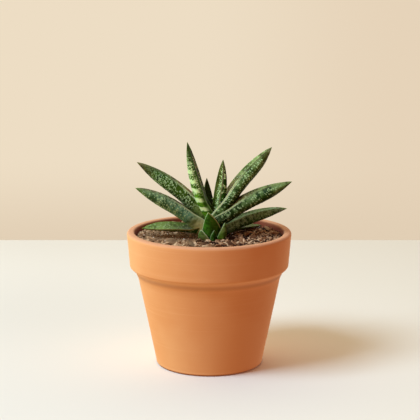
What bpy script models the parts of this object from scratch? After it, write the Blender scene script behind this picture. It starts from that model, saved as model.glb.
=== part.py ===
"""A potted succulent: a small rosette of keeled leaves in potting soil, in a turned clay pot.

Metres, +Z up. The origin is the middle of the pot's underside, the front is -Y and the right is +X.
Lengths in the constants and tables below are millimetres, and MM turns them into metres.
"""

import math
from typing import NamedTuple

import bmesh
import bpy
import numpy as np
from mathutils import Matrix, Vector, noise

MM = 0.001
GAP = 0.3  # space kept between pieces that touch
CUT_GAP = 0.37  # what a cutter adds on every side, a little more since its faces are flat
CORNER_REACH = 4.5  # how much farther than that a sharp corner of a cutter may move

# Pot
POT_HEIGHT = 90.6
RIM_RADIUS = 55.0
COLLAR_HEIGHT = 24.5
COLLAR_LOW_RADIUS = 53.25
WALL_TOP_RADIUS = 49.0  # outside of the wall where it meets the collar
FOOT_RADIUS = 36.1
RIM_INNER_RADIUS = 49.7
WALL = 4.6
FLOOR = 5.5
DRAIN_RADIUS = 6.0
LIP_ROUND = 1.9
COLLAR_ROUND = 1.8
FOOT_ROUND = 1.6
INNER_FOOT_RISE = 3.0  # slope between the floor and the inside of the wall
INNER_FOOT_INSET = 2.6
POT_SEGMENTS = 50

# Soil
SOIL_LEVEL = 85.6
SOIL_RELIEF = 0.7
CROWN = (1.5, -2.0)  # axis of the rosette
CROWN_HOLE = (1.5, -4.0)
CROWN_HOLE_RADIUS = 11.2
CROWN_HOLE_FLOOR = 81.8
SOIL_RINGS = 9
SOIL_SECTORS = 36
CHIP_COUNT = 42
GRAIN_COUNT = 22
CHIP_SIZE = (4.4, 2.6, 1.9)
GRAIN_SIZE = (2.4, 2.2, 2.0)
PIECE_LIFT = 0.1  # middle of a chip or grain above the soil around it
PIECE_LEAN = 0.5  # radians, at most
PIECE_RING = (17.0, 45.9)  # chips and grains lie between these distances from the pot's axis
SOIL_SEED = 11
LOW_LEAVES = ("leaf_left_low", "leaf_right_low", "leaf_back_low")
LOW_LEAF_SPACE = 4.0  # kept free of chips all around a low leaf

# Stem
STEM_RADIUS = 2.6
STEM_TOP = 97.0
ROOT_CROWN_RADIUS = 5.2
ROOT_CROWN_BOTTOM = 70.0
ROOT_CROWN_TOP = 80.0
STEM_NECK = 88.0
STEM_SEGMENTS = 16

# Leaves
LEAF_RINGS = 12
MARGIN_THICKNESS = 0.9
CHANNEL = 0.13  # depth of the channel in the upper face, as a share of the half width
LEAF_ROOT = 0.92  # width where the leaf leaves the stem, as a share of its greatest width
FLANK_FULLNESS = 1.5  # 1 is a flat flank, more is a rounder one
SPINE_SAMPLES = 241
SHEATH_RISE = 86.0  # degrees above level, where the base clasps the stem
SHEATH_NARROWING = 0.12
SHEATH_THINNING = 0.6
CLASP = 0.75  # how far the margins bend up at the root, as a share of the half width
CLASP_REACH = 0.28  # share of the length over which that fades


class Leaf(NamedTuple):
    """One leaf. Azimuths are degrees from +X, rises are degrees above level, lengths are millimetres."""

    name: str
    azimuth: float
    foot: tuple  # distance from the crown's axis, and height
    length: float
    width: float
    keel: float  # depth below the upper face
    rise: tuple  # at the foot, at the tip
    turn: float = 0.0  # change of azimuth from foot to tip
    roll: tuple = (0.0, 0.0)  # about the spine, at the foot, at the tip
    keel_side: float = 0.0  # place of the keel across the leaf, -1 to 1
    widest: float = 0.45  # share of the length
    taper: float = 2.2
    sheath: float = 6.0  # length of the clasping base, below the foot


# From the innermost leaf outwards: each leaf clasps the ones before it.
LEAVES = [
    Leaf("leaf_back_centre", 100, (2.5, 98.5), 29, 7.8, 3.8, (50, 80), 8, (0, 0), 0.0, 0.3, 2.0),
    Leaf("leaf_upright", -8, (1, 99), 40.8, 9.5, 5.4, (80, 81), 3, (32, 50), -0.3, 0.36, 2.3),
    Leaf("leaf_tall", 188, (0.2, 100.5), 53, 11.6, 7.1, (74, 71), -8, (-8, -18), 0.25, 0.24, 2.6),
    Leaf("leaf_right_upper", 5, (1.5, 99.6), 62.2, 14.2, 8.0, (68.3, 31.8), 7, (7, -5), -0.3, 0.48, 3.2),
    Leaf("leaf_left_upper", 172, (2, 102.4), 60.2, 11.4, 9.0, (55, 15.4), 3, (2, 8), 0.15, 0.42, 2.7),
    Leaf("leaf_right_middle", -14, (1.2, 98.2), 62.3, 14.8, 8.4, (46.4, 10), -7, (28, -5), -0.4, 0.48, 3.0),
    Leaf("leaf_left_lower", -170, (3.5, 93.9), 56.4, 11.5, 8.5, (51, 9.3), 1, (0, -3), 0.1, 0.42, 2.7),
    Leaf("leaf_right_lower", 12, (2.4, 90.3), 52.6, 9.3, 7.1, (36, -5), -2, (5, 6), -0.3, 0.4, 2.5),
    Leaf("leaf_left_low", 178, (4.7, 91), 42.4, 13.6, 3.6, (15, -12), 1, (0, -22), 0.0, 0.4, 2.5, 5),
    Leaf("leaf_right_low", 40, (4.8, 88.4), 43, 7.4, 3, (11, -13), 4, (1, 16), 0.2, 0.4, 2.4, 3),
    Leaf("leaf_back_low", 98, (4.5, 89.5), 34, 10.5, 4, (20, 8), 4, (0, 0), 0.0, 0.4, 2.2, 4.5),
    Leaf("leaf_front", -86, (3.5, 84.5), 27, 12.4, 3.8, (64, 50), -26, (0, 0), 0.0, 0.28, 1.9, 1),
    Leaf("leaf_front_left", -125, (6.5, 84.4), 11, 8.6, 3.2, (43, 76), 2, (0, 0), 0.0, 0.3, 1.8, 1),
    Leaf("leaf_front_right", -54, (6.6, 84.4), 17, 6.1, 3.4, (42, 80), 4, (0, 6), 0.1, 0.35, 2.0, 1),
    Leaf("leaf_front_small", -83, (8.4, 84), 12.5, 5.2, 2.6, (48, 68), 0, (0, 0), 0.0, 0.3, 1.8, 1),
]

UPPER_SPOTS = (1.0, 0.6, 0.0, -0.6, -1.0)  # across the upper face, from one margin to the other
FLANK_SPOTS = (0.42, 0.8)  # across each flank, as shares from the keel to the margin


def clear_scene():
    for old in list(bpy.data.objects):
        bpy.data.objects.remove(old, do_unlink=True)


def make_material(name, color, roughness):
    material = bpy.data.materials.new(name)
    material.use_nodes = True
    shader = material.node_tree.nodes["Principled BSDF"]
    shader.inputs["Base Color"].default_value = (*color, 1)
    shader.inputs["Roughness"].default_value = roughness
    shader.inputs["Metallic"].default_value = 0
    material.diffuse_color = (*color, 1)
    return material


def make_object(name, mesh, material):
    obj = bpy.data.objects.new(name, mesh)
    bpy.context.scene.collection.objects.link(obj)
    mesh.materials.clear()
    mesh.materials.append(material)
    return obj


def mesh_from(name, points, faces):
    """A mesh from points in millimetres, with its faces turned outwards."""
    mesh = bpy.data.meshes.new(name)
    mesh.from_pydata([Vector(p) * MM for p in points], [], faces)
    work = bmesh.new()
    work.from_mesh(mesh)
    bmesh.ops.recalc_face_normals(work, faces=work.faces)
    work.to_mesh(mesh)
    work.free()
    return mesh


def shade(obj, degrees):
    obj.data.shade_smooth()
    obj.data.set_sharp_from_angle(angle=math.radians(degrees))


def arc(center, radius, start, end, steps):
    """Points of a round stretch of profile, from one angle in degrees to another."""
    angles = np.radians(np.linspace(start, end, steps + 1))
    return [(center[0] + radius * math.cos(a), center[1] + radius * math.sin(a)) for a in angles]


def turned(name, profile, segments, material):
    """A solid turned about Z from a closed profile, which runs down its outer side."""
    mesh = bpy.data.meshes.new(name)
    count = len(profile)
    edges = [(i, (i + 1) % count) for i in range(count)]
    mesh.from_pydata([(r * MM, 0, z * MM) for r, z in profile], edges, [])
    obj = make_object(name, mesh, material)
    screw = obj.modifiers.new("turn", "SCREW")
    screw.steps = segments
    screw.render_steps = segments
    screw.use_merge_vertices = True
    screw.merge_threshold = 0.00001
    screw.use_normal_calculate = False
    return obj


def wall_radius(z):
    """Outer radius of the pot's tapered wall at a height."""
    return FOOT_RADIUS + (WALL_TOP_RADIUS - FOOT_RADIUS) * z / (POT_HEIGHT - COLLAR_HEIGHT)


def inner_radius(z):
    """Radius of the pot's inside at a height: parallel to the wall below, and straight to the rim above."""
    collar_base = POT_HEIGHT - COLLAR_HEIGHT
    if z < collar_base:
        return wall_radius(z) - WALL
    low = wall_radius(collar_base) - WALL
    return low + (RIM_INNER_RADIUS - low) * (z - collar_base) / COLLAR_HEIGHT


def make_pot(material):
    collar_base = POT_HEIGHT - COLLAR_HEIGHT
    lip_outer = (RIM_RADIUS - LIP_ROUND, POT_HEIGHT - LIP_ROUND)
    lip_inner = (RIM_INNER_RADIUS + LIP_ROUND, POT_HEIGHT - LIP_ROUND)
    collar_low = (COLLAR_LOW_RADIUS - COLLAR_ROUND, collar_base + COLLAR_ROUND)
    foot = (FOOT_RADIUS - FOOT_ROUND, FOOT_ROUND)
    inner_foot_z = FLOOR + INNER_FOOT_RISE
    profile = arc(lip_outer, LIP_ROUND, 90, 0, 3)
    profile += arc(collar_low, COLLAR_ROUND, 0, -90, 3)
    profile.append((wall_radius(collar_base), collar_base))
    profile += arc(foot, FOOT_ROUND, 15, -90, 3)
    profile.append((DRAIN_RADIUS, 0))
    profile.append((DRAIN_RADIUS, FLOOR))
    profile.append((inner_radius(inner_foot_z) - INNER_FOOT_INSET, FLOOR))
    profile.append((inner_radius(inner_foot_z), inner_foot_z))
    profile.append((inner_radius(collar_base), collar_base))
    profile += arc(lip_inner, LIP_ROUND, 180, 90, 3)
    pot = turned("pot", profile, POT_SEGMENTS, material)
    shade(pot, 40)


def soil_height(x, y):
    """Height of the soil's lumpy surface: broad swells with smaller ones on them."""
    broad = noise.noise(Vector((x * 0.11, y * 0.11, 3.7)))
    small = noise.noise(Vector((x * 0.27, y * 0.27, 9.1)))
    return SOIL_LEVEL + SOIL_RELIEF * (broad + 0.6 * small)


def make_soil(material):
    """A filled body with a lumpy top and a plain hole for the crown, joined with its chips and grains."""
    top_radius = inner_radius(SOIL_LEVEL) - GAP
    root_hole = ROOT_CROWN_RADIUS + GAP
    angles = np.linspace(0, 2 * math.pi, SOIL_SECTORS, endpoint=False)
    points = []

    def ring(middle, radius, height=None):
        for a in angles:
            x = middle[0] + radius * math.cos(a)
            y = middle[1] + radius * math.sin(a)
            points.append((x, y, soil_height(x, y) if height is None else height))

    ring(CROWN, root_hole, ROOT_CROWN_BOTTOM - GAP)
    ring(CROWN, root_hole, CROWN_HOLE_FLOOR)
    ring(CROWN_HOLE, CROWN_HOLE_RADIUS, CROWN_HOLE_FLOOR)
    for share in np.linspace(0, 1, SOIL_RINGS):
        middle = (CROWN_HOLE[0] * (1 - share), CROWN_HOLE[1] * (1 - share))
        ring(middle, CROWN_HOLE_RADIUS + (top_radius - CROWN_HOLE_RADIUS) * share)
    collar_base = POT_HEIGHT - COLLAR_HEIGHT
    inner_foot_z = FLOOR + INNER_FOOT_RISE
    ring((0, 0), inner_radius(collar_base) - GAP, collar_base)
    ring((0, 0), inner_radius(inner_foot_z) - GAP, inner_foot_z)
    ring((0, 0), inner_radius(inner_foot_z) - INNER_FOOT_INSET - GAP, FLOOR + GAP)
    faces = ring_faces(len(points) // SOIL_SECTORS, SOIL_SECTORS) + ring_caps(len(points), SOIL_SECTORS)
    soil = make_object("soil", mesh_from("soil", points, faces), material)
    join_pieces(soil, soil_pieces())
    shade(soil, 35)


def soil_pieces():
    """Chips and grains with a few faces each, pressed into the surface by a seeded rule."""
    rng = np.random.default_rng(SOIL_SEED)
    pieces = []
    while len(pieces) < CHIP_COUNT + GRAIN_COUNT:
        radius = math.sqrt(rng.uniform(PIECE_RING[0] ** 2, PIECE_RING[1] ** 2))
        angle = rng.uniform(0, 2 * math.pi)
        x, y = radius * math.cos(angle), radius * math.sin(angle)
        spin, lean = rng.uniform(0, 2 * math.pi), rng.uniform(-PIECE_LEAN, PIECE_LEAN)
        size = rng.uniform(0.8, 1.2)
        if under_low_leaf(x, y):
            continue
        work = bmesh.new()
        if len(pieces) < CHIP_COUNT:
            length, width, height = CHIP_SIZE
            bmesh.ops.create_cube(work, size=1)
        else:
            length, width, height = GRAIN_SIZE
            bmesh.ops.create_icosphere(work, subdivisions=1, radius=0.5)
        for vert in work.verts:
            vert.co.x *= length * size * rng.uniform(0.85, 1.15)
            vert.co.y *= width * size * rng.uniform(0.8, 1.15)
            vert.co.z *= height * size
        place = Matrix.Translation((x, y, soil_height(x, y) + PIECE_LIFT))
        turn = Matrix.Rotation(spin, 4, "Z") @ Matrix.Rotation(lean, 4, "Y")
        bmesh.ops.transform(work, matrix=place @ turn, verts=work.verts)
        bmesh.ops.scale(work, vec=(MM, MM, MM), verts=work.verts)
        mesh = bpy.data.meshes.new("piece")
        work.to_mesh(mesh)
        work.free()
        pieces.append(bpy.data.objects.new("piece", mesh))
    return pieces


def under_low_leaf(x, y):
    """True beneath the leaves that lie low over the soil, where no chip may stand."""
    for leaf in LEAVES:
        along, across = polar_offset(leaf, x, y)
        beside = abs(across) < leaf.width / 2 + LOW_LEAF_SPACE
        if leaf.name in LOW_LEAVES and beside and 0 < along < leaf.length + LOW_LEAF_SPACE:
            return True
    return False


def polar_offset(leaf, x, y):
    """How far a point lies along and across a leaf's direction, from the crown's axis."""
    a = math.radians(leaf.azimuth)
    dx, dy = x - CROWN[0], y - CROWN[1]
    return dx * math.cos(a) + dy * math.sin(a), dy * math.cos(a) - dx * math.sin(a)


def evaluated_mesh(obj):
    graph = bpy.context.evaluated_depsgraph_get()
    return bpy.data.meshes.new_from_object(obj.evaluated_get(graph))


def join_pieces(obj, pieces):
    """Unites loose pieces with an object in one Boolean on their collection, then removes them."""
    group = bpy.data.collections.new("pieces")
    bpy.context.scene.collection.children.link(group)
    for piece in pieces:
        group.objects.link(piece)
    join = obj.modifiers.new("join", "BOOLEAN")
    join.operation = "UNION"
    join.solver = "EXACT"
    join.operand_type = "COLLECTION"
    join.collection = group
    bpy.context.view_layer.update()
    joined = evaluated_mesh(obj)
    obj.modifiers.clear()
    obj.data = joined
    for piece in pieces:
        bpy.data.objects.remove(piece, do_unlink=True)
    bpy.data.collections.remove(group)
    keep_largest(obj.data)


def keep_largest(mesh):
    """Drops every loose scrap that a Boolean leaves, and keeps the body with the greatest volume."""
    work = bmesh.new()
    work.from_mesh(mesh)
    bmesh.ops.triangulate(work, faces=work.faces)
    left = set(work.faces)
    islands = []
    while left:
        queue = [left.pop()]
        island = []
        while queue:
            face = queue.pop()
            island.append(face)
            for edge in face.edges:
                for other in edge.link_faces:
                    if other in left:
                        left.remove(other)
                        queue.append(other)
        islands.append(island)

    def volume(island):
        total = 0.0
        for face in island:
            corners = [v.co for v in face.verts]
            for i in range(1, len(corners) - 1):
                total += corners[0].dot(corners[i].cross(corners[i + 1])) / 6
        return total

    islands.sort(key=volume, reverse=True)
    scraps = [face for island in islands[1:] for face in island]
    bmesh.ops.delete(work, geom=scraps, context="FACES")
    loose = [v for v in work.verts if not v.link_faces]
    bmesh.ops.delete(work, geom=loose, context="VERTS")
    work.to_mesh(mesh)
    work.free()


def stem_mesh(name, grow=0.0):
    """The short stem inside the rosette, wider at its root crown. Grown, it is the space that it clears."""
    rings = [(STEM_RADIUS * 0.7, STEM_TOP + grow), (STEM_RADIUS, STEM_TOP - 1.2), (STEM_RADIUS, STEM_NECK)]
    rings += [(ROOT_CROWN_RADIUS, ROOT_CROWN_TOP), (ROOT_CROWN_RADIUS, ROOT_CROWN_BOTTOM - grow)]
    points = []
    for radius, z in rings:
        reach = radius + grow
        for a in np.linspace(0, 2 * math.pi, STEM_SEGMENTS, endpoint=False):
            points.append((CROWN[0] + reach * math.cos(a), CROWN[1] + reach * math.sin(a), z))
    faces = ring_faces(len(rings), STEM_SEGMENTS) + ring_caps(len(points), STEM_SEGMENTS)
    return mesh_from(name, points, faces)


def make_stem(material):
    stem = make_object("stem", stem_mesh("stem"), material)
    shade(stem, 40)


def eased(share):
    """0 to 1 as the share goes from 0 to 1, level at both ends."""
    share = np.clip(share, 0, 1)
    return share * share * (3 - 2 * share)


def leaf_frames(leaf, places):
    """Spine points, with the directions along, across and out of the upper face.

    A place is a distance along the spine from the foot. The sheath below it is nearly upright.
    """
    fine = np.linspace(-leaf.sheath, leaf.length, SPINE_SAMPLES)
    start = np.argmin(np.abs(fine))

    def directions(distance):
        share = np.clip(distance / leaf.length, 0, 1)
        below = eased(-distance / leaf.sheath)
        azimuth = np.radians(leaf.azimuth + leaf.turn * share)
        rise = leaf.rise[0] + (leaf.rise[1] - leaf.rise[0]) * share
        rise = np.radians(rise + (SHEATH_RISE - leaf.rise[0]) * below)
        roll = np.radians((leaf.roll[0] + (leaf.roll[1] - leaf.roll[0]) * share) * (1 - below))
        level = np.zeros_like(distance)
        out = np.stack([np.cos(azimuth), np.sin(azimuth), level], 1)
        flat_side = np.stack([-np.sin(azimuth), np.cos(azimuth), level], 1)
        up = np.array([0.0, 0.0, 1.0])
        along = np.cos(rise)[:, None] * out + np.sin(rise)[:, None] * up
        flat_normal = np.cos(rise)[:, None] * up - np.sin(rise)[:, None] * out
        side = np.cos(roll)[:, None] * flat_side + np.sin(roll)[:, None] * flat_normal
        normal = np.cos(roll)[:, None] * flat_normal - np.sin(roll)[:, None] * flat_side
        return along, side, normal

    along = directions(fine)[0]
    steps = (along[1:] + along[:-1]) / 2 * np.diff(fine)[:, None]
    path = np.concatenate([np.zeros((1, 3)), np.cumsum(steps, 0)])
    a = math.radians(leaf.azimuth)
    reach, height = leaf.foot
    foot = np.array([CROWN[0] + reach * math.cos(a), CROWN[1] + reach * math.sin(a), height])
    path += foot - path[start]
    spine = np.stack([np.interp(places, fine, path[:, axis]) for axis in range(3)], 1)
    return (spine, *directions(places))


def leaf_shape(leaf, places):
    """Share of the full width at each place: a rise from the foot, then a curve down to the tip."""
    share = np.clip(places / leaf.length, 0, 1)
    to_tip = np.clip((share - leaf.widest) / (1 - leaf.widest), 0, 1)
    from_foot = LEAF_ROOT + (1 - LEAF_ROOT) * np.sin(math.pi / 2 * np.clip(share / leaf.widest, 0, 1))
    return np.where(share < leaf.widest, from_foot, 1 - to_tip ** leaf.taper)


def leaf_mesh(leaf):
    """A closed leaf: rings of a keeled section along the spine, a tip point, and a filled root end.

    Across a ring, u runs from -1 to 1. The upper face sinks as 1 - u squared into its channel, the
    flanks fall from the margins to the keel, and near the foot both bend up as u squared, which
    makes the base clasp the stem.
    """
    blade = np.append(np.linspace(0, 0.9, LEAF_RINGS - 3), 0.965) * leaf.length
    places = np.concatenate([[-leaf.sheath, -leaf.sheath / 2], blade])
    spine, along, side, normal = leaf_frames(leaf, np.append(places, leaf.length))
    below = np.clip(-places / leaf.sheath, 0, 1)
    shape = leaf_shape(leaf, places)
    half = leaf.width / 2 * shape * (1 - SHEATH_NARROWING * below)
    edge = MARGIN_THICKNESS / 2 * np.minimum(1, shape * 3)
    deep = np.maximum(leaf.keel * shape * (1 - SHEATH_THINNING * below), edge * 1.5)
    clasp = CLASP * (1 - eased((places + leaf.sheath) / (leaf.sheath + CLASP_REACH * leaf.length)))
    upper = [(u, edge - CHANNEL * half * (1 - u * u)) for u in UPPER_SPOTS]
    lower = [(-1.0, -edge)]
    k = leaf.keel_side
    for share in reversed(FLANK_SPOTS):
        lower.append((k - (1 + k) * share, -edge - (deep - edge) * (1 - share ** FLANK_FULLNESS)))
    lower.append((k, -deep))
    for share in FLANK_SPOTS:
        lower.append((k + (1 - k) * share, -edge - (deep - edge) * (1 - share ** FLANK_FULLNESS)))
    lower.append((1.0, -edge))
    rings = []
    for u, height in upper + lower:
        height = height + clasp * half * u * u
        rings.append(spine[:-1] + side[:-1] * (half * u)[:, None] + normal[:-1] * height[:, None])
    points = np.stack(rings, 1)
    around = len(rings)
    faces = ring_faces(len(places), around)
    flat = points.reshape(-1, 3)
    tip = len(flat)
    flat = np.concatenate([flat, spine[-1:]])
    last = (len(places) - 1) * around
    for j in range(around):
        faces.append((last + j, last + (j + 1) % around, tip))
    # The root end is filled in strips between the two faces, which a clasping section needs.
    upper_count = len(upper)
    lower_loop = [0] + list(range(around - 1, upper_count - 2, -1))
    upper_loop = list(range(upper_count))
    faces += strip(upper_loop, lower_loop)
    return mesh_from(leaf.name, flat, faces)


def cleared_space(leaf):
    """The leaf grown on every side by the gap that its neighbours keep to it."""
    mesh = leaf_mesh(leaf)
    work = bmesh.new()
    work.from_mesh(mesh)
    work.normal_update()
    moves = [v.normal * min(v.calc_shell_factor(), CORNER_REACH) * CUT_GAP * MM for v in work.verts]
    for vert, move in zip(work.verts, moves):
        vert.co += move
    work.to_mesh(mesh)
    work.free()
    return mesh


def ring_faces(count, around):
    """Triangles between rings of points that follow one another, all split along the same diagonal."""
    faces = []
    for i in range(count - 1):
        for j in range(around):
            k = (j + 1) % around
            a, b = i * around, (i + 1) * around
            faces.append((a + j, a + k, b + k))
            faces.append((a + j, b + k, b + j))
    return faces


def ring_caps(count, around):
    """One face over the first ring of points and one over the last."""
    return [tuple(range(around)), tuple(range(count - around, count))]


def strip(first, second):
    """Triangles between two rows of points that share both ends."""
    faces = []
    i = j = 0
    while i < len(first) - 1 or j < len(second) - 1:
        ahead = i / (len(first) - 1) <= j / (len(second) - 1)
        if ahead and i < len(first) - 1:
            face = (first[i], first[i + 1], second[j])
            i += 1
        else:
            face = (first[i], second[j + 1], second[j])
            j += 1
        if len(set(face)) == 3:
            faces.append(face)
    return faces


def subtract(obj, spaces):
    """Cuts closed spaces out of an object, one after another. EXACT loses whole leaves here."""
    cutters = [make_object("space", space, obj.data.materials[0]) for space in spaces]
    for cutter in cutters:
        cut = obj.modifiers.new("cut", "BOOLEAN")
        cut.operation = "DIFFERENCE"
        cut.solver = "MANIFOLD"
        cut.object = cutter
    bpy.context.view_layer.update()
    trimmed = evaluated_mesh(obj)
    obj.modifiers.clear()
    obj.data = trimmed
    for cutter in cutters:
        bpy.data.objects.remove(cutter, do_unlink=True)
    keep_largest(obj.data)


def boxes_meet(first, second):
    """True where the boxes around two meshes overlap."""
    a = np.array([v.co for v in first.vertices])
    b = np.array([v.co for v in second.vertices])
    return bool((a.min(0) < b.max(0)).all() and (b.min(0) < a.max(0)).all())


def make_leaves(material):
    for index, leaf in enumerate(LEAVES):
        obj = make_object(leaf.name, leaf_mesh(leaf), material)
        spaces = [stem_mesh("stem_space", CUT_GAP)] + [cleared_space(inner) for inner in LEAVES[:index]]
        subtract(obj, [space for space in spaces if boxes_meet(obj.data, space)])
        shade(obj, 35)


def main():
    clear_scene()
    clay = make_material("terracotta", (0.66, 0.29, 0.13), 0.85)
    earth = make_material("potting_soil", (0.07, 0.035, 0.02), 0.95)
    green = make_material("leaf_green", (0.08, 0.15, 0.045), 0.5)
    pale = make_material("stem_green", (0.28, 0.33, 0.12), 0.6)
    make_pot(clay)
    make_soil(earth)
    make_stem(pale)
    make_leaves(green)


main()
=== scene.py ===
import itertools
import math
from types import SimpleNamespace

import bpy
import numpy as np
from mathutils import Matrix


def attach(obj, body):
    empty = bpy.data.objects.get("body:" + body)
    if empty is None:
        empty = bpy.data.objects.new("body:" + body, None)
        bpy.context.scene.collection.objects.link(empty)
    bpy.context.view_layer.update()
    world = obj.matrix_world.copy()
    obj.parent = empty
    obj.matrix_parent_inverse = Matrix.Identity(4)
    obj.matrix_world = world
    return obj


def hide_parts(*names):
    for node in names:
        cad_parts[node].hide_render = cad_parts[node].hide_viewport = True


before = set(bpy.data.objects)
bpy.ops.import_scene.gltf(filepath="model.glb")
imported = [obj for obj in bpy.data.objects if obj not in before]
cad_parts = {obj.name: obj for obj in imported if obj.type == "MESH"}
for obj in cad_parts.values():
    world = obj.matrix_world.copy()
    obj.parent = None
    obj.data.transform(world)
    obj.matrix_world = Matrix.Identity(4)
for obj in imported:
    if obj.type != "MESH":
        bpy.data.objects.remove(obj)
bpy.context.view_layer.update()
print("frame loaded:", len(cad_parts), "nodes")

mm = 0.001


def tint(code):
    # An sRGB colour code as linear light.
    parts = [int(code[i:i + 2], 16) / 255 for i in (0, 2, 4)]
    return tuple(c / 12.92 if c <= 0.04045 else ((c + 0.055) / 1.055) ** 2.4 for c in parts)


# Camera: a pinhole fitted to the rim, the collar's lower edge and the foot

cameraPlan = dict(place=(0.00049, -0.866, 0.2743), pitch=11.09, lens=113.14, sensor=36.0)


def makeCamera(plan):
    # It looks along y, and down by the pitch in degrees.
    data = bpy.data.cameras.new("camera")
    data.lens = plan["lens"]
    data.sensor_width = plan["sensor"]
    data.clip_start = 0.01
    camera = bpy.data.objects.new("camera", data)
    camera.location = plan["place"]
    camera.rotation_euler = (math.radians(90 - plan["pitch"]), 0, 0)
    bpy.context.scene.collection.objects.link(camera)
    bpy.context.scene.camera = camera


makeCamera(cameraPlan)
print("camera placed")


# Shader maths

class Port:  # one output of a node, so that shader maths reads as Python
    def __init__(self, graph, socket):
        self.graph = graph
        self.socket = socket

    def __add__(self, other):
        return self.graph.maths("ADD", self, other)

    def __radd__(self, other):
        return self.graph.maths("ADD", other, self)

    def __sub__(self, other):
        return self.graph.maths("SUBTRACT", self, other)

    def __rsub__(self, other):
        return self.graph.maths("SUBTRACT", other, self)

    def __mul__(self, other):
        return self.graph.maths("MULTIPLY", self, other)

    def __rmul__(self, other):
        return self.graph.maths("MULTIPLY", other, self)


class Graph:  # a tree of nodes, and the ways to add to it
    def __init__(self, tree):
        self.tree = tree

    def node(self, kind, settings, values, output=0):
        # Settings are set first, as they can change the sockets; a value is a port to link or a constant.
        made = self.tree.nodes.new(kind)
        for name, value in settings.items():
            setattr(made, name, value)
        for key, value in values.items():
            if isinstance(value, Port):
                self.tree.links.new(value.socket, made.inputs[key])
            elif isinstance(value, tuple) and len(value) == 3 and made.inputs[key].type == "RGBA":
                made.inputs[key].default_value = (*value, 1)
            else:
                made.inputs[key].default_value = value
        return Port(self, made.outputs[output]) if output is not None else None

    def maths(self, operation, first, second):
        return self.node("ShaderNodeMath", dict(operation=operation), {0: first, 1: second})

    def mix(self, below, above, amount, kind="MIX"):
        settings = dict(data_type="RGBA", blend_type=kind)
        return self.node("ShaderNodeMix", settings, {0: amount, 6: below, 7: above}, 2)

    def ramp(self, value, low, high):  # 0 at low, 1 at high, eased between them
        settings = dict(interpolation_type="SMOOTHSTEP")
        return self.node("ShaderNodeMapRange", settings, {0: value, 1: low, 2: high, 3: 0.0, 4: 1.0})

    def axis(self, vector, number):  # 0 for x, 1 for y, 2 for z
        return self.node("ShaderNodeSeparateXYZ", {}, {0: vector}, number)

    def noise(self, place, scale, detail, roughness):
        return self.node("ShaderNodeTexNoise", {}, {
            "Vector": place, "Scale": scale, "Detail": detail, "Roughness": roughness})


class Finish(Graph):  # a material; its constants are set on the shader's own sockets
    def __init__(self, name, **constants):
        self.material = bpy.data.materials.new(name)
        self.material.use_nodes = True
        super().__init__(self.material.node_tree)
        self.shader = self.tree.nodes["Principled BSDF"]
        for socket, value in constants.items():
            self.shader.inputs[socket.replace("_", " ")].default_value = value

    def mask(self, name):
        return self.node("ShaderNodeAttribute", dict(attribute_name=name), {}, 2)

    def place(self, stretch=(1, 1, 1)):  # Object coordinates in metres
        here = self.node("ShaderNodeTexCoord", {}, {}, 3)
        return self.node("ShaderNodeMapping", {}, {"Vector": here, "Scale": stretch})

    def paint(self, socket, port):
        self.tree.links.new(port.socket, self.shader.inputs[socket])

    def relief(self, height, distance, strength):
        self.paint("Normal", self.node("ShaderNodeBump", {}, {
            "Strength": strength, "Distance": distance, "Height": height}))


# Fixed randomness and meshes

def hashed(i, j, seed):
    # A fixed random number from 0 to 1 for each pair of whole numbers: the fraction of a large sine.
    value = np.sin(i * 127.1 + j * 311.7 + seed * 74.7) * 43758.5453
    return value - np.floor(value)


def eased(share):
    # 0 to 1 as the share goes from 0 to 1, level at both ends.
    share = np.clip(share, 0, 1)
    return share * share * (3 - 2 * share)


def swells(x, y, size, seed):
    # Smooth noise from -1 to 1: random values at the corners of square cells, eased between them.
    i, j = np.floor(x / size), np.floor(y / size)
    u, v = eased(x / size - i), eased(y / size - j)
    low = hashed(i, j, seed) * (1 - u) + hashed(i + 1, j, seed) * u
    high = hashed(i, j + 1, seed) * (1 - u) + hashed(i + 1, j + 1, seed) * u
    return (low * (1 - v) + high * v) * 2 - 1


def ringFaces(rows, around):
    # Quads between neighbouring rows of a grid that is closed around.
    row = np.arange(rows - 1)[:, None] * around
    here = np.arange(around)[None, :]
    there = (here + 1) % around
    after = row + around
    return np.stack([row + here, row + there, after + there, after + here], -1).reshape(-1, 4).tolist()


def fanFaces(start, around, tip, flip):
    # Triangles from one ring of a grid to a single point.
    here = start + np.arange(around)
    there = start + (np.arange(around) + 1) % around
    point = np.full(around, tip)
    return np.stack([there, here, point] if flip else [here, there, point], -1).tolist()


def makePiece(name, points, faces, finish, nodes=(), masks=None, sharp=0):
    # Points are millimetres. A mesh that turns out inside out, by its signed volume, has its faces turned.
    # Edges over the angle sharp, in degrees, stay crisp where one is given.
    mesh = bpy.data.meshes.new(name)
    mesh.from_pydata((points * mm).tolist(), [], faces)
    for key, values in (masks or {}).items():
        layer = mesh.attributes.new(key, "FLOAT", "POINT")
        layer.data.foreach_set("value", np.ravel(values).astype(np.float32))
    corners = np.array([face[:3] for face in faces])
    a, b, c = points[corners[:, 0]], points[corners[:, 1]], points[corners[:, 2]]
    if np.einsum("ij,ij->", a - points.mean(0), np.cross(b - a, c - a)) < 0:
        mesh.flip_normals()
    mesh.shade_smooth()
    if sharp:
        mesh.set_sharp_from_angle(angle=math.radians(sharp))
    mesh.materials.append(finish.material)
    piece = bpy.data.objects.new(name, mesh)
    bpy.context.scene.collection.objects.link(piece)
    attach(piece, "root")
    if nodes:
        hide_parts(*nodes)
    print(name, "made with", len(faces), "faces")


# Pot

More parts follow.
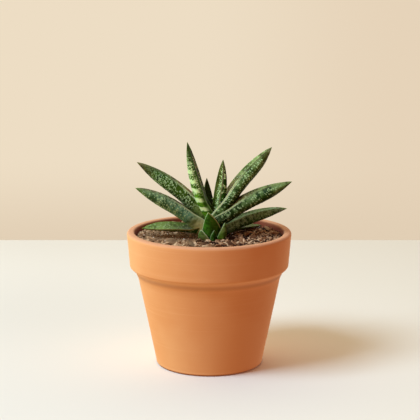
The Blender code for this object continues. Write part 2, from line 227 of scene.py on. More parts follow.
pot = dict(
    height=90.6, rimRadius=55.0, rimInnerRadius=49.7, collarHeight=24.5, collarLowRadius=53.25,
    wallTopRadius=49.0, footRadius=36.1, wall=4.6, floor=5.5, drainRadius=6.0, drainRound=0.6,
    lipRound=1.9, collarRound=1.8, footRound=1.6, innerFootRise=3.0, innerFootInset=2.6,
    cove=2.4, coveDepth=8.0, covePower=1.8,
    around=220, spacing=1.0,  # points round the axis, and millimetres from ring to ring
    wander=0.1, turning=0.035,  # height of the slow swells and of the turning rings
    # light also serves as painted light under the collar, and inside as painted shade on the inner wall and
    # at the foot
    light=tint("E6A670"), body=tint("E19E65"), deep=tint("DC9358"), dust=tint("ECB890"),
    lip=tint("D08E66"), inside=tint("701F0D"),
)
collarBase = pot["height"] - pot["collarHeight"]
innerFoot = pot["floor"] + pot["innerFootRise"]


def wallRadius(z):
    # A cone: the radius grows evenly from the foot to the collar.
    return pot["footRadius"] + (pot["wallTopRadius"] - pot["footRadius"]) * z / collarBase


def innerRadius(z):
    # Parallel to the wall below the collar, and straight to the rim above it.
    low = wallRadius(collarBase) - pot["wall"]
    above = low + (pot["rimInnerRadius"] - low) * (z - collarBase) / pot["collarHeight"]
    return np.where(z < collarBase, wallRadius(z) - pot["wall"], above)


def arc(r, z, radius, start, end):
    # Nine points on a circle round (r, z), from the start angle to the end angle in degrees.
    angles = np.radians(np.linspace(start, end, 9))
    return np.stack([r + radius * np.cos(angles), z + radius * np.sin(angles)], 1)


def makePot():
    # A profile carried round the axis: its radius varies by slow sines around and by fine rings along it from
    # the turning. The cove under the collar thins out downwards as a power of the way left.
    lip, low, foot, drain = pot["lipRound"], pot["collarRound"], pot["footRound"], pot["drainRadius"]
    down = np.linspace(0, pot["coveDepth"], 7)
    cove = wallRadius(collarBase - down) + pot["cove"] * (1 - down / pot["coveDepth"]) ** pot["covePower"]
    outline = np.concatenate([
        arc(pot["rimRadius"] - lip, pot["height"] - lip, lip, 90, 0),
        arc(pot["collarLowRadius"] - low, collarBase + low, low, 0, -90),
        np.stack([cove, collarBase - down], 1),
        arc(pot["footRadius"] - foot, foot, foot, 12, -90),
        [[drain + pot["drainRound"], 0], [drain, pot["drainRound"]], [drain, pot["floor"]]],
        [[innerRadius(innerFoot) - pot["innerFootInset"], pot["floor"]], [innerRadius(innerFoot), innerFoot]],
        [[innerRadius(collarBase - 0.01), collarBase]],
        arc(pot["rimInnerRadius"] + lip, pot["height"] - lip, lip, 180, 90)[:-1],
    ])
    closed = np.concatenate([outline, outline[:1]])
    along = np.concatenate([[0], np.cumsum(np.hypot(*np.diff(closed, axis=0).T))])
    counts = np.maximum(1, np.ceil(np.diff(along) / pot["spacing"])).astype(int)
    steps = [np.linspace(0, 1, count, endpoint=False) for count in counts]
    places = np.concatenate([along[i] + share * (along[i + 1] - along[i]) for i, share in enumerate(steps)])
    radius = np.interp(places, along, closed[:, 0])[:, None]
    height = np.interp(places, along, closed[:, 1])[:, None]
    angle = np.linspace(0, 2 * np.pi, pot["around"], endpoint=False)[None, :]
    loose = eased((radius - 20) / 15)
    slow = sum(np.sin(n * angle + height * pitch + phase) / n for n, pitch, phase in (
        (2, 0.02, 0.4), (3, -0.05, 2.1), (5, 0.09, 4.4), (7, 0.04, 1.0)))
    rings = swells(height + 40, angle * 0.9 + 7, 2.6, 3) * eased((height - 1) / 3)
    r = radius + loose * (pot["wander"] * slow + pot["turning"] * rings)
    points = np.stack([r * np.cos(angle), r * np.sin(angle), height + 0 * angle], -1)

    # Masks that are 1 for the painted shade on the inner wall inside the collar, on the lip, for the painted
    # light under the collar and for the painted shade at the foot.
    # painted shade on the inner wall above the soil, where the collar and the leaves shade it; it wanders a
    # little
    inside = eased((pot["rimInnerRadius"] + 1.3 - radius) / 1.5) * eased((height - 60) / 5)
    innerShadeWander = 0.94 + 0.06 * swells(height + 40, angle * 9 + 7, 3.1, 4)
    onLip = eased((height - pot["height"] + 1.6) / 1.3) + 0 * angle
    # painted light on the wall just under the collar, paler where the collar's shadow falls
    dusty = eased((collarBase + 1 - height) / 1.5) * eased((height - collarBase + 6) / 5)
    dusty = dusty * eased((radius - 47) / 2) + 0 * angle
    # painted shade: a dark contact line on the foot's rounding, where the pot meets the floor
    damp = (1 - eased((height - 0.2) / 1.3)) * eased((radius - 30) / 3) + 0 * angle

    rows = len(places)
    faces = ringFaces(rows, pot["around"])
    first, last = np.arange(pot["around"]), (rows - 1) * pot["around"] + np.arange(pot["around"])
    nextOne = (first + 1) % pot["around"]
    faces += np.stack([last, last - first + nextOne, nextOne, first], -1).tolist()
    masks = dict(inside=inside * innerShadeWander, lip=onLip, damp=damp, dusty=dusty)
    makePiece("clayPot", points.reshape(-1, 3), faces, clayFinish(), ["pot"], masks)


def clayFinish():
    # Fired clay in three near shades by broad patches, level turning rings and grain, with dusty specks; over
    # them painted shade on the inner wall and at the foot, and painted light under the collar.
    clay = Finish("firedClay", Roughness=0.82, Specular_IOR_Level=0.3)
    place = clay.place()
    turned = clay.place((14, 14, 900))
    patches = clay.noise(place, 16, 3, 0.55)
    rings = clay.noise(turned, 1.0, 2, 0.6)
    grain = clay.noise(place, 1500, 2, 0.6)
    speck = clay.noise(place, 700, 1, 0.4)
    color = clay.mix(pot["deep"], pot["body"], clay.ramp(patches, 0.3, 0.62))
    color = clay.mix(color, pot["light"], clay.ramp(rings, 0.5, 0.9) * 0.4)
    color = clay.mix(color, pot["deep"], clay.ramp(grain, 0.62, 0.8) * 0.3)
    color = clay.mix(color, pot["dust"], clay.ramp(speck, 0.72, 0.85) * 0.12)
    color = clay.mix(color, pot["lip"], clay.mask("lip") * 0.8)
    # painted shade on the inner wall
    color = clay.mix(color, pot["inside"], clay.mask("inside"))
    # painted light under the collar
    color = clay.mix(color, pot["light"], clay.mask("dusty") * 0.8)
    # painted shade at the foot
    color = clay.mix(color, pot["inside"], clay.mask("damp") * 0.9)
    clay.paint("Base Color", color)
    clay.relief(grain * 0.5 + rings * 0.8, 0.00012, 0.6)
    return clay


makePot()


# Soil

soil = dict(
    level=85.7,
    relief=((0.55, 14), (0.55, 4.2), (0.45, 1.3), (0.25, 0.6)),  # height and size, broad swells first
    wallRise=1.3, rings=120, around=330, wallGap=0.15, gap=0.3,
    bitMargin=1.2, edgeRoom=0.9, edgeShrink=0.6, lowSpace=3.0, lowSize=1.0,  # where bits lie and get smaller
    leftPaintedLightShare=0.45,
    dark=tint("301608"), brown=tint("7A4C2C"), pale=tint("A67A56"), stone=tint("F4E2CC"), tan=tint("D0A67E"),
    dry=tint("B08A62"),
)
soilBits = dict(  # sizes vary by spread, bits lean up to so many radians and lift by a share of their size
    soilCrumbs=dict(count=1900, size=(2.1, 1.8, 1.4), spread=0.35, lean=1.5, lift=0.3, rough=0.22, seed=21,
                    pale=0.5),
    barkChips=dict(count=1100, size=(5.2, 2.2, 1.2), spread=0.35, lean=0.7, lift=0.45, rough=0.22, seed=22,
                   pale=0.7),
    pumiceGrains=dict(count=34, size=(1.5, 1.3, 1.2), spread=0.3, lean=1.5, lift=0.5, rough=0.12, seed=23),
)
frontGrains = [(4.4, -23.4, 1.9), (-16.8, -8.2, 1.5), (-24.4, 1.3, 1.2), (-41.2, 17.4, 1.3)]  # x, y, size


def soilHeight(x, y):
    # Broad swells, lumps, crumbs and grit of smooth noise, a little higher towards the wall.
    height = soil["level"]
    for seed, (high, wide) in enumerate(soil["relief"], 1):
        height = height + high * swells(x + 90, y + 90, wide, seed)
    return height + soil["wallRise"] * eased((np.hypot(x, y) - 28) / 16)


def makeSoil():
    # A round bed on a polar grid: rough on top, with a smooth side and underside against the pot's inside.
    angle = np.linspace(0, 2 * np.pi, soil["around"], endpoint=False)[None, :]
    top = float(innerRadius(soil["level"])) - soil["wallGap"]
    radius = (np.linspace(0.02, 1, soil["rings"]) ** 0.9 * top)[:, None]
    x, y = radius * np.cos(angle), radius * np.sin(angle)
    rows = [np.stack([x, y, soilHeight(x, y)], -1)]
    gap, bottom = soil["gap"], pot["floor"] + soil["gap"]
    for z, inset in ((collarBase, gap), (innerFoot, gap), (bottom, pot["innerFootInset"] + gap)):
        r = float(innerRadius(max(z, innerFoot))) - inset
        rows.append(np.stack([r * np.cos(angle), r * np.sin(angle), z + 0 * angle], -1))
    points = np.concatenate(rows).reshape(-1, 3)
    count = len(points) // soil["around"]
    middle = [[0, 0, float(soilHeight(np.array(0.0), np.array(0.0)))], [0, 0, bottom]]
    points = np.concatenate([points, middle])
    faces = ringFaces(count, soil["around"])
    faces += fanFaces(0, soil["around"], count * soil["around"], True)
    faces += fanFaces((count - 1) * soil["around"], soil["around"], count * soil["around"] + 1, False)
    makePiece("soilBed", points, faces, earthFinish("pottingMix", 0.0), ["soil"])


def earthFinish(name, paleShare):
    # Dark peat, brown fibre and pale bark: each bit has its own tone, with a fibrous mottle over it, and the
    # more of them are pale, the larger paleShare is. The left side is paler: painted light.
    earth = Finish(name, Roughness=0.92, Specular_IOR_Level=0.15)
    place = earth.place()
    mottle = earth.noise(place, 420, 4, 0.65)
    fine = earth.noise(place, 1800, 2, 0.6)
    if paleShare:
        tone = earth.mask("tone") + mottle * 0.24 - 0.12
        color = earth.mix(soil["dark"], soil["brown"], earth.ramp(tone, 0.1, 0.45))
        color = earth.mix(color, soil["pale"], earth.ramp(tone, 1.05 - paleShare, 1.25 - paleShare))
        color = earth.mix(color, soil["tan"], earth.ramp(tone, 1.2 - paleShare * 0.6, 1.3 - paleShare * 0.6))
        color = earth.mix(color, soil["dark"], earth.ramp(fine, 0.6, 0.8) * 0.5)
    else:
        color = earth.mix(soil["dark"], soil["brown"], earth.ramp(mottle, 0.4, 0.75) * 0.6)
    # painted light: the bits to the left are paler, where the light reaches them
    paintedLightSide = earth.ramp(earth.axis(place, 0), 0.004, -0.022)
    earth.paint("Base Color", earth.mix(color, soil["dry"], paintedLightSide * soil["leftPaintedLightShare"]))
    earth.relief(mottle + fine * 0.5, 0.0004, 0.8)
    return earth


def stoneFinish():
    # Pale pumice with tan pores.
    stone = Finish("pumice", Roughness=0.9, Specular_IOR_Level=0.2)
    place = stone.place()
    pores = stone.noise(place, 1500, 3, 0.6)
    stone.paint("Base Color", stone.mix(soil["tan"], soil["stone"], stone.ramp(pores, 0.3, 0.55)))
    stone.relief(pores, 0.0003, 0.8)
    return stone


def roundShape():
    # An icosahedron: twelve corners from the golden ratio, and the faces whose corners are all neighbours.
    g = (1 + math.sqrt(5)) / 2
    corners = np.array([(0, s, t * g) for s in (-1, 1) for t in (-1, 1)])
    corners = np.concatenate([corners, np.roll(corners, 1, 1), np.roll(corners, 2, 1)]) / math.hypot(1, g)
    near = np.linalg.norm(corners[:, None] - corners[None], axis=2) < 1.1
    faces = []
    for i, j, k in itertools.combinations(range(12), 3):
        if near[i, j] and near[j, k] and near[i, k]:
            a, b, c = corners[[i, j, k]]
            faces.append((i, j, k) if np.dot(np.cross(b - a, c - a), a) > 0 else (i, k, j))
    return corners, np.array(faces)


def finerShape(corners, faces):
    # Each face split in four, with the new corners pushed out to the unit sphere.
    edges = np.sort(np.concatenate([faces[:, [0, 1]], faces[:, [1, 2]], faces[:, [2, 0]]]), axis=1)
    unique, where = np.unique(edges, axis=0, return_inverse=True)
    where = where.reshape(-1)
    middle = corners[unique].mean(1)
    middle /= np.linalg.norm(middle, axis=1)[:, None]
    a, b, c = faces.T
    ab, bc, ca = np.split(where + len(corners), 3)
    split = [(a, ab, ca), (ab, b, bc), (ca, bc, c), (ab, bc, ca)]
    return np.concatenate([corners, middle]), np.concatenate([np.stack(s, 1) for s in split])


def turns(rng, count, lean):
    # Random turns about the vertical, after a lean of up to the given angle about a level axis.
    spin = rng.uniform(0, 2 * np.pi, count)
    tilt, roll = rng.uniform(-lean, lean, count), rng.uniform(-lean, lean, count)

    def turn(angle, first, second):  # the matrices that turn one axis towards another
        made = np.tile(np.eye(3), (count, 1, 1))
        made[:, first, first] = made[:, second, second] = np.cos(angle)
        made[:, second, first], made[:, first, second] = np.sin(angle), -np.sin(angle)
        return made

    return turn(spin, 0, 1) @ turn(tilt, 2, 0) @ turn(roll, 1, 2)


def lowLeafShade(x, y):
    # True under the leaves that lie low over the soil, where only small bits fit.
    under = np.zeros(x.shape, bool)
    for leaf in leafTable:
        if leaf["name"] in lowLeaves:
            a = math.radians(leaf["azimuth"] + leaf["turn"] / 2)
            dx, dy = x - leafShape["crown"][0], y - leafShape["crown"][1]
            along, across = dx * math.cos(a) + dy * math.sin(a), dy * math.cos(a) - dx * math.sin(a)
            near = np.abs(across) < leaf["width"] / 2 + soil["lowSpace"]
            under |= near & (along > 0) & (along < leaf["length"] + soil["lowSpace"])
    return under


def scatter(name, shape, finish, fixed=()):
    # Bits of one shape strewn evenly over the bed: stretched, roughened, turned and set on the surface. The
    # first ones lie at the fixed places. Those under a low leaf or at the wall are smaller.
    plan = soilBits[name]
    count, rng = plan["count"], np.random.default_rng(plan["seed"])
    corners, faces = shape
    reach = float(innerRadius(soil["level"])) - soil["bitMargin"]
    radius, angle = reach * np.sqrt(rng.uniform(0, 1, count)), rng.uniform(0, 2 * np.pi, count)
    x, y = radius * np.cos(angle), radius * np.sin(angle)
    scale = np.exp(rng.normal(0, plan["spread"], (count, 1))) * np.array(plan["size"])
    scale = scale * rng.uniform(0.8, 1.2, (count, 3)) / 2
    for i, (sx, sy, big) in enumerate(fixed):
        x[i], y[i], scale[i] = sx, sy, (big / 2, big / 2.2, big / 2.4)
    shaded = lowLeafShade(x, y)
    scale = np.where(shaded[:, None], np.minimum(scale, soil["lowSize"] / 2), scale)
    edge = np.hypot(x, y) + scale.max(1) > reach + soil["edgeRoom"]
    scale[edge] *= soil["edgeShrink"]
    bumps = 1 + plan["rough"] * rng.uniform(-1, 1, (count, len(corners), 1))
    bits = corners[None] * bumps * scale[:, None, :]
    bits = np.einsum("nij,nvj->nvi", turns(rng, count, plan["lean"]), bits)
    z = soilHeight(x, y) + plan["lift"] * scale.min(1)
    points = bits + np.stack([x, y, z], 1)[:, None, :]
    tone = np.repeat(rng.uniform(0, 1, count), len(corners))
    allFaces = (faces[None] + (np.arange(count) * len(corners))[:, None, None]).reshape(-1, 3).tolist()
    makePiece(name, points.reshape(-1, 3), allFaces, finish, masks=dict(tone=tone), sharp=35)


# Leaves, from the innermost outwards. Angles are degrees and lengths millimetres. A foot is its distance from
# the crown's axis and its height; rise and roll are given at the foot and at the tip.

lowLeaves = ("leaf_left_low", "leaf_right_low", "leaf_back_low")


def leafRow(name, azimuth, foot, length, width, keel, rise, turn, roll, keelSide, widest, taper, sheath=6.0,
            **looks):
    # Turn is how far the leaf swings round on its way to the tip, and sheath how far it goes below its foot.
    return dict(name=name, azimuth=azimuth, foot=foot, length=length, width=width, keel=keel, rise=rise,
                turn=turn, roll=roll, keelSide=keelSide, widest=widest, taper=taper, sheath=sheath,
                looks=looks)


leafTable = [
    # painted shade: the innermost leaf is coloured as dark as the shade it stands in
    leafRow("leaf_back_centre", 100, (2.5, 98.5), 29, 7.8, 3.8, (50, 80), 8, (0, 0), 0.0, 0.3, 2.0,
            flank=("ink", "ink", "ink", "bark"), upper=("ink", "ink"), flecks=0.12, rimReach=0.1,
            rimStrength=0.3),
    leafRow("leaf_upright", -8, (1, 99), 40.8, 9.5, 5.4, (80, 81), 3, (32, 50), -0.3, 0.36, 2.3,
            flank=("forest", "forest", "deep", "olive"), upper=("leaf", "olive"), flecks=0.5, upperFlecks=1.8,
            upperSide=-1, rimReach=0.9, rimStrength=0.4, dots="white"),
    # painted shade: the upper face is coloured dark and darkened again near the margins, where it turns from
    # the light
    leafRow("leaf_tall", 188, (0.2, 100.5), 53, 11.6, 7.1, (74, 71), -8, (-8, -18), 0.25, 0.24, 2.6,
            flank=("lime", "lime", "fern", "olive"), upper=("deep", "bark"), flecks=0.9, flecksFrom=0.3,
            bands=1.0, bandSpacing=0.125, bandStart=0.219, upperFlecks=0.5, rimStrength=0.15, flecksTo=0.8,
            edgeDark=0.7),
    leafRow("leaf_right_upper", 5, (1.5, 99.6), 62.2, 14.2, 8.0, (68.3, 31.8), 7, (7, -5), -0.3, 0.48, 3.2,
            flank=("fern", "moss", "leaf", "reed"), upper=("rust", "sage"), dots="mint", flecks=0.75,
            upperFlecks=0.3, softBands=1.2, rimReach=0.5, rimStrength=1.0, rimWidth=0.4, glow=0.2, shade=1.0,
            shadeReach=0.9, fade=1.0),
    leafRow("leaf_left_upper", 172, (2, 102.4), 60.2, 11.4, 9.0, (55, 15.4), 3, (2, 8), 0.15, 0.42, 2.7,
            flank=("sage", "fern", "moss", "bark"), upper=("rust", "olive"), dots="mint", flecks=0.9,
            upperFlecks=0.4, flecksFrom=0.12, softBands=0.4, flecksTo=0.75, rimReach=0.5, rimStrength=0.7),
    leafRow("leaf_right_middle", -14, (1.2, 98.2), 62.3, 14.8, 8.4, (46.4, 10), -7, (28, -5), -0.4, 0.48, 3.0,
            flank=("deep", "pine", "moss", "sage"), upper=("rust", "olive"), dots="milk", flecks=0.6,
            upperFlecks=0.4, softBands=1.2, rimReach=0.45, glow=0.2, shade=1.0, shadeReach=0.95, fade=1.0),
    leafRow("leaf_left_lower", -170, (3.5, 93.9), 56.4, 11.5, 8.5, (51, 9.3), 1, (0, -3), 0.1, 0.42, 2.7,
            flank=("straw", "sea", "bluish", "leaf"), upper=("rust", "bark"), dots="mint", flecks=0.8,
            flecksFrom=0.25, upperFlecks=0.3, rimReach=0.5, rimStrength=0.7, glow=0.3, shade=0.1),
    leafRow("leaf_right_lower", 12, (2.4, 90.3), 52.6, 9.3, 7.1, (36, -5), -2, (5, 6), -0.3, 0.4, 2.5,
            flank=("sea", "forest", "grass", "olive"), upper=("bluish", "sage"), rim="foam", dots="foam",
            flecks=0.8, upperFlecks=1.2, softBands=-0.3, rimReach=0.5, glow=0.8, glowShade="foam", shade=1.0,
            shadeReach=0.95, fade=0.7),
    leafRow("leaf_left_low", 178, (4.7, 91), 42.4, 13.6, 3.6, (15, -12), 1, (0, -22), 0.0, 0.4, 2.5, 5,
            flank=("forest", "moss", "leaf", "leaf"), upper=("fern", "sage"), dots="milk", rim="rust",
            rimReach=0.9, rimStrength=0.7, bulge=0.0),
    leafRow("leaf_right_low", 40, (4.8, 88.4), 43, 7.4, 3, (11, -13), 4, (1, 16), 0.2, 0.4, 2.4, 3,
            flank=("deep", "deep", "olive", "bark"), upper=("deep", "olive"), dots="milk", flecks=0.4,
            rimStrength=0.2, bulge=0.0),
    leafRow("leaf_back_low", 98, (4.5, 89.5), 34, 10.5, 4, (20, 8), 4, (0, 0), 0.0, 0.4, 2.2, 4.5),
    leafRow("leaf_front", -86, (3.5, 84.5), 27, 12.4, 3.8, (64, 50), -26, (0, 0), 0.0, 0.28, 1.9, 1,
            flank=("bluish", "grass", "grass", "grass"), upper=("forest", "forest"), flecks=0.0, streaks=0.7,
            rimReach=1.2, rimStrength=0.75, rimWidth=0.3, bulge=0.0),
    leafRow("leaf_front_left", -125, (6.5, 84.4), 11, 8.6, 3.2, (43, 76), 2, (0, 0), 0.0, 0.3, 1.8, 1,
            flank=("straw", "reed", "sage", "sage"), upper=("sage", "sage"), flecks=0.0, streaks=1.0,
            rimReach=1.2, rimStrength=0.8, rimWidth=0.3, bulge=0.0),
    leafRow("leaf_front_right", -54, (6.6, 84.4), 17, 6.1, 3.4, (42, 80), 4, (0, 6), 0.1, 0.35, 2.0, 1,
            flank=("lime", "lime", "sage", "leaf"), upper=("sage", "leaf"), flecks=0.0, streaks=0.6,
            rimReach=1.2, rimStrength=0.35, bulge=0.0),
    leafRow("leaf_front_small", -83, (8.4, 84), 12.5, 5.2, 2.6, (48, 68), 0, (0, 0), 0.0, 0.3, 1.8, 1,
            flank=("moss", "forest", "forest", "moss"), upper=("forest", "forest"), flecks=0.0, streaks=0.5,
            rimReach=1.2, rimStrength=0.3, bulge=0.0),
]

leafShape = dict(
    crown=(1.5, -2.0), spacing=0.26, margin=0.9, channel=0.13, rootWidth=0.92, fullness=1.8,
    sheathRise=86, sheathNarrowing=0.12, sheathThinning=0.6, clasp=0.75, claspReach=0.28, tipStart=0.993,
    rimRound=5, keelRound=26, keelWidth=6,  # rounds of smoothing, and the keel's width in points
    fleckSize=1.0, fleckStretch=1.25, fleckHeight=0.13, beadSize=1.15, beadHeight=0.05, wrinkle=0.05,
    rimFade=0.55,
)

leafSkin = dict(
    roughness=0.44, fleckRoughness=0.2, gloss=0.06, through=0.25, throughColor=(0.7, 1.0, 0.35),
    throughDepth=0.0025, darkening=(0.24, 0.28, 0.12),
)

shades = dict(
    ink="262A0A", forest="2A500A", moss="324E0A", fern="3C5612", leaf="4A621A", sage="6A7A3A", lime="689C22",
    bluish="587C54", olive="545A1E", bark="5A4A20", rust="7A562C", straw="BAAF70", cream="C8D09A",
    white="D8EEA4", milk="9AAA74", mint="B4CE90", deep="223E06", sea="588A6C", foam="94B68A", pine="2E430A",
    reed="86864E", grass="42701A",
)
flankSpots, upperSpots = (0.05, 0.28, 0.7, 0.99), (0.25, 0.65)  # shares of the length where the colours lie

leafLooks = dict(  # what a leaf has where its row says nothing else
    flank=("olive", "fern", "fern", "bark"), upper=("olive", "moss"), rim="cream", dots="white",
    flecks=0.6, flecksFrom=0.04, flecksTo=0.9, upperFlecks=0.6, upperSide=0, fade=0.0,
    bands=0.0, bandSpacing=0.1, bandStart=0.1, softBands=0.25, streaks=0.0,
    # the darkening near the margins and towards the keel is painted shade, and the paler zone near the margin
    # is painted light
    rimReach=0.35, rimStrength=0.8, rimWidth=0.2, edgeDark=0.0,
    glow=0.0, glowShade="milk", shade=0.4, shadeReach=0.6, bulge=3.0,
)


def leafDirections(leaf, distance):
    # Along, across and out of the upper face. Azimuth, rise and roll go evenly from foot to tip; below the
    # foot the rise eases to nearly upright and the roll to none.
    share = np.clip(distance / leaf["length"], 0, 1)
    below = eased(-distance / leaf["sheath"])
    azimuth = np.radians(leaf["azimuth"] + leaf["turn"] * share)
    rise = leaf["rise"][0] + (leaf["rise"][1] - leaf["rise"][0]) * share
    rise = np.radians(rise + (leafShape["sheathRise"] - leaf["rise"][0]) * below)
    roll = np.radians((leaf["roll"][0] + (leaf["roll"][1] - leaf["roll"][0]) * share) * (1 - below))[:, None]
    level = np.zeros_like(distance)
    out = np.stack([np.cos(azimuth), np.sin(azimuth), level], 1)
    flatSide = np.stack([-np.sin(azimuth), np.cos(azimuth), level], 1)
    up = np.array([0.0, 0.0, 1.0])
    along = np.cos(rise)[:, None] * out + np.sin(rise)[:, None] * up
    flatNormal = np.cos(rise)[:, None] * up - np.sin(rise)[:, None] * out
    across = np.cos(roll) * flatSide + np.sin(roll) * flatNormal
    return along, across, np.cos(roll) * flatNormal - np.sin(roll) * flatSide


def leafSpine(leaf, places):
    # The path whose direction is the one above, summed in small steps and set on the leaf's foot.
    fine = np.linspace(-leaf["sheath"], leaf["length"], 601)
    along = leafDirections(leaf, fine)[0]
    steps = (along[1:] + along[:-1]) / 2 * np.diff(fine)[:, None]
    path = np.concatenate([np.zeros((1, 3)), np.cumsum(steps, 0)])
    a = math.radians(leaf["azimuth"])
    reach, height = leaf["foot"]
    crown = leafShape["crown"]
    foot = np.array([crown[0] + reach * math.cos(a), crown[1] + reach * math.sin(a), height])
    path += foot - path[np.abs(fine).argmin()]
    return np.stack([np.interp(places, fine, path[:, axis]) for axis in range(3)], 1)


def smoothed(values, times):
    # Each point of a ring moved towards its two neighbours, so many times.
    for _ in range(times):
        values = (np.roll(values, 1, 1) + 2 * values + np.roll(values, -1, 1)) / 4
    return values


def fleckField(along, across, amount, seed):
    # How deep each point lies in its nearest raised fleck: one round fleck at a random spot of each square
    # cell, left out where the cell's own draw is above the amount.
    size = leafShape["fleckSize"]
    stretched = across / leafShape["fleckStretch"]
    i0, j0 = np.floor(along / size), np.floor(stretched / size)
    best = np.zeros(np.broadcast(along, across).shape)
    for di in (-1, 0, 1):
        for dj in (-1, 0, 1):
            i, j = i0 + di, j0 + dj
            centerX = (i + 0.15 + 0.7 * hashed(i, j, seed)) * size
            centerY = (j + 0.15 + 0.7 * hashed(i, j, seed + 1)) * size
            radius = size * (0.24 + 0.26 * hashed(i, j, seed + 2) ** 1.3)
            depth = 1.4 - np.hypot(along - centerX, stretched - centerY) / radius
            best = np.maximum(best, np.where(hashed(i, j, seed + 3) < amount, depth, 0))
    return eased(best)


def leafRing(leaf):
    # Points round the section: the upper face first, then the flanks, with six steps over each margin. u runs
    # from -1 to 1 across the leaf, and flank from 0 at the keel to 1 at the margins.
    girth = leaf["width"] + 2 * math.hypot(leaf["width"] / 2, leaf["keel"])
    half = max(30, round(girth / 2 / leafShape["spacing"]))
    around, edge = 2 * half, 3
    middle = (half + around) // 2
    index = np.arange(around)
    knots = [0, edge, half - edge, half, half + edge, middle, around - edge, around]
    return SimpleNamespace(
        half=half, around=around, middle=middle, index=index,
        u=np.interp(index, knots, [1, 1, -1, -1, -1, leaf["keelSide"], 1, 1])[None, :],
        edgeShare=np.interp(index, knots, [0, 1, 1, 0, -1, -1, -1, 0])[None, :],
        onTop=((index > edge) & (index < half - edge))[None, :],
        lower=((index >= half + edge) & (index <= around - edge))[None, :],
        flank=np.interp(index, [half + edge, middle, around - edge], [1, 0, 1])[None, :])


def leafSection(leaf, ring, bulge, places, share):
    # The width grows as a sine up to the widest place, and from there falls to the tip as 1 less a power. The
    # upper face sinks as 1 - u squared into its channel, the flanks fall from the margins to the keel, and
    # near the foot both bend up as u squared to clasp the stem. Then the corners are rounded, most at the
    # keel.
    sheath, widest, u, flank = leaf["sheath"], leaf["widest"], ring.u, ring.flank
    toTip = np.clip((share - widest) / (1 - widest), 0, 1)
    rootWidth = leafShape["rootWidth"]
    fromFoot = rootWidth + (1 - rootWidth) * np.sin(np.pi / 2 * np.clip(share / widest, 0, 1))
    shape = np.where(share < widest, fromFoot, 1 - toTip ** leaf["taper"])[:, None]
    below = np.clip(-places / sheath, 0, 1)[:, None]
    halfWidth = leaf["width"] / 2 * shape * (1 - leafShape["sheathNarrowing"] * below)
    rim = leafShape["margin"] / 2 * np.minimum(1, shape * 3)
    deep = np.maximum(leaf["keel"] * shape * (1 - leafShape["sheathThinning"] * below), rim * 1.5)
    reach = (places + sheath) / (sheath + leafShape["claspReach"] * leaf["length"])
    clasp = leafShape["clasp"] * (1 - eased(reach))[:, None]

    height = rim * ring.edgeShare - leafShape["channel"] * halfWidth * (1 - u * u) * ring.onTop
    height = height - (deep - rim) * (1 - flank ** leafShape["fullness"]) * ring.lower
    height = height + clasp * halfWidth * u * u
    sideways = halfWidth * u * (1 + bulge * flank * (1 - flank) * ring.lower * (1 - below))
    keelNear = np.exp(-((ring.index - ring.middle) / leafShape["keelWidth"]) ** 2)[None, :]
    softer = smoothed(height, leafShape["keelRound"]) * keelNear
    softer = softer + smoothed(height, leafShape["rimRound"]) * (1 - keelNear)
    height = softer + (height.min(1) - softer.min(1))[:, None] * keelNear
    sideways = smoothed(sideways, leafShape["rimRound"])
    sideways *= halfWidth / np.abs(sideways).max(1)[:, None]
    return sideways, height, shape


def leafMarks(ring, looks, sideways, height, along, share, seed):
    # Lengths summed round the section give each point's distance to the nearest margin and to the keel. The
    # crossbands are waves along the leaf with ragged edges, the soft bands noise that is longest across it,
    # the streaks slanting noise, and the flecks round spots that stop short of the margins and the keel.
    half, middle, onTop = ring.half, ring.middle, ring.onTop
    step = np.hypot(np.roll(height, -1, 1) - height, np.roll(sideways, -1, 1) - sideways)
    run = np.cumsum(step, 1) - step
    total = step.sum(1)[:, None]
    across = np.where(ring.index[None, :] > middle, run - total, run) - run[:, half // 2:half // 2 + 1]
    toRim = np.minimum(np.minimum(run, total - run), np.abs(run - run[:, half:half + 1]))
    toKeel = np.abs(run - run[:, middle:middle + 1])
    toMargin = toKeel / np.maximum(toRim + toKeel, 0.01)
    onRim = 1 - eased((toRim - looks["rimWidth"]) / leafShape["rimFade"])
    onUpper = eased((toRim - 0.3) / 0.5) * (ring.index < half)[None, :]

    x, y = along + 60, across + 60
    band = np.cos(2 * np.pi * (share - looks["bandStart"]) / looks["bandSpacing"] + 0.25 * across)
    ragged = swells(x, y, 1.1, seed + 9) + 0.6 * swells(x, y, 0.55, seed + 10)
    bands = eased((band + 0.25 + 0.5 * ragged) * 1.1) * looks["bands"] * eased((share - 0.04) / 0.08)
    bands = bands * (1 - eased((share - 0.45) / 0.5)) * (1 - onTop) * (1 - eased((toMargin - 0.65) / 0.3))
    softBand = swells(x, y * 0.35, 2.9, seed + 14)
    mottle = 0.5 + 0.32 * softBand * (0.6 + looks["softBands"]) + 0.3 * swells(x, y * 0.6, 1.2, seed + 15)
    streaks = eased(swells(x * 0.5 + y * 0.3, y - x * 0.2, 0.8, seed + 16) * 3.2 - 1.6) * looks["streaks"]

    amount = looks["flecks"] * (0.66 + 0.3 * swells(x, y, 5.0, seed + 11) + 0.25 * softBand)
    amount = amount * np.where(onTop, looks["upperFlecks"], 1)
    if looks["upperSide"]:
        amount = amount * np.where(onTop, eased((ring.u * looks["upperSide"] + 0.5) / 0.6), 1)
    flecks = fleckField(x, y, amount, seed) * eased((share - looks["flecksFrom"] + 0.02) / 0.1)
    flecks = flecks * eased((toRim - 0.25) / 0.4) * eased((toKeel - 0.05) / 0.3)
    masks = dict(fleck=flecks, band=bands, rim=onRim, upper=onUpper, reach=np.broadcast_to(share, x.shape),
                 flank=np.clip(toMargin, 0, 1), mottle=mottle, streak=streaks)
    return masks, x, y


